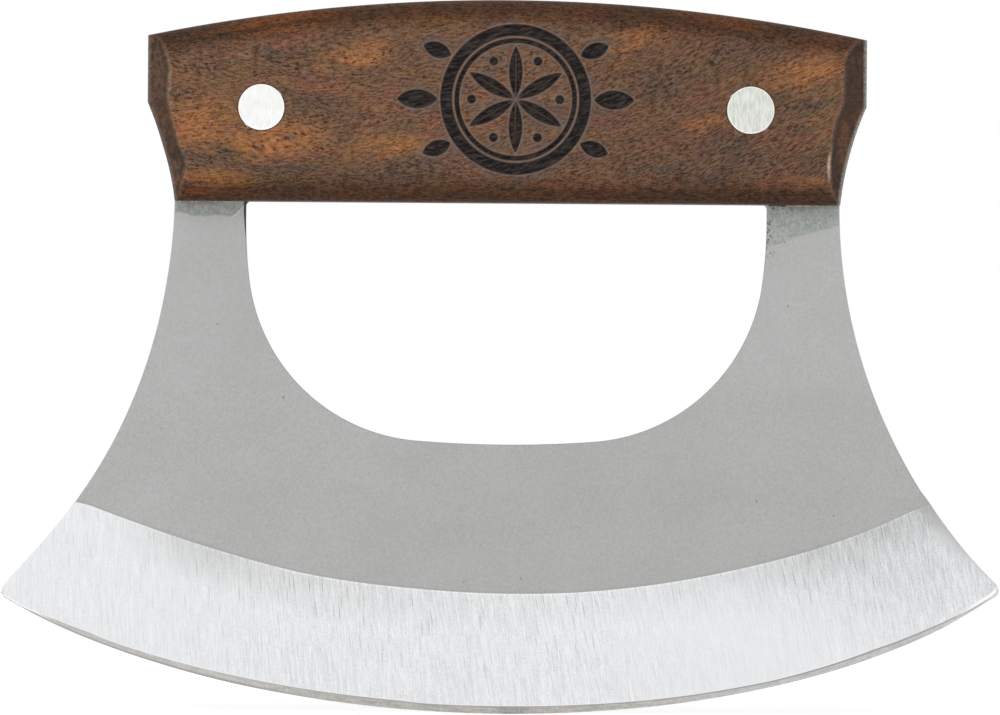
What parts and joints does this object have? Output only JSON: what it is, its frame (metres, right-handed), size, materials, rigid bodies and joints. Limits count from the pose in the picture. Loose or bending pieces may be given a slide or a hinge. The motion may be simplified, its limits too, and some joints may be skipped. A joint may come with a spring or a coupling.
{
  "type": "ulu knife",
  "caption": "Ulu kitchen knife: a crescent-edged steel blade with a four-finger opening, whose full tang is pinned between the scales of a wooden slab handle.",
  "frame": {"origin": "under the lowest point of the cutting edge, in the middle of the blade's thickness, with the knife upright as it is used", "axes": "+X along the handle to the right of the front face, +Y from the front face to the back face, +Z from the cutting edge up to the handle"},
  "size_m": [0.1662, 0.02, 0.1184],
  "materials": {
    "blade_steel": "bead-blasted grey flats, satin belt-ground bevel",
    "walnut": "oiled, sanded smooth with open pores",
    "pin_metal": "ground flush, fine straight scratches"
  },
  "bodies": {
    "root": {"blade": "blade_steel", "front_scale": "walnut", "back_scale": "walnut", "left_pin": "pin_metal", "right_pin": "pin_metal"}
  },
  "joints": []
}
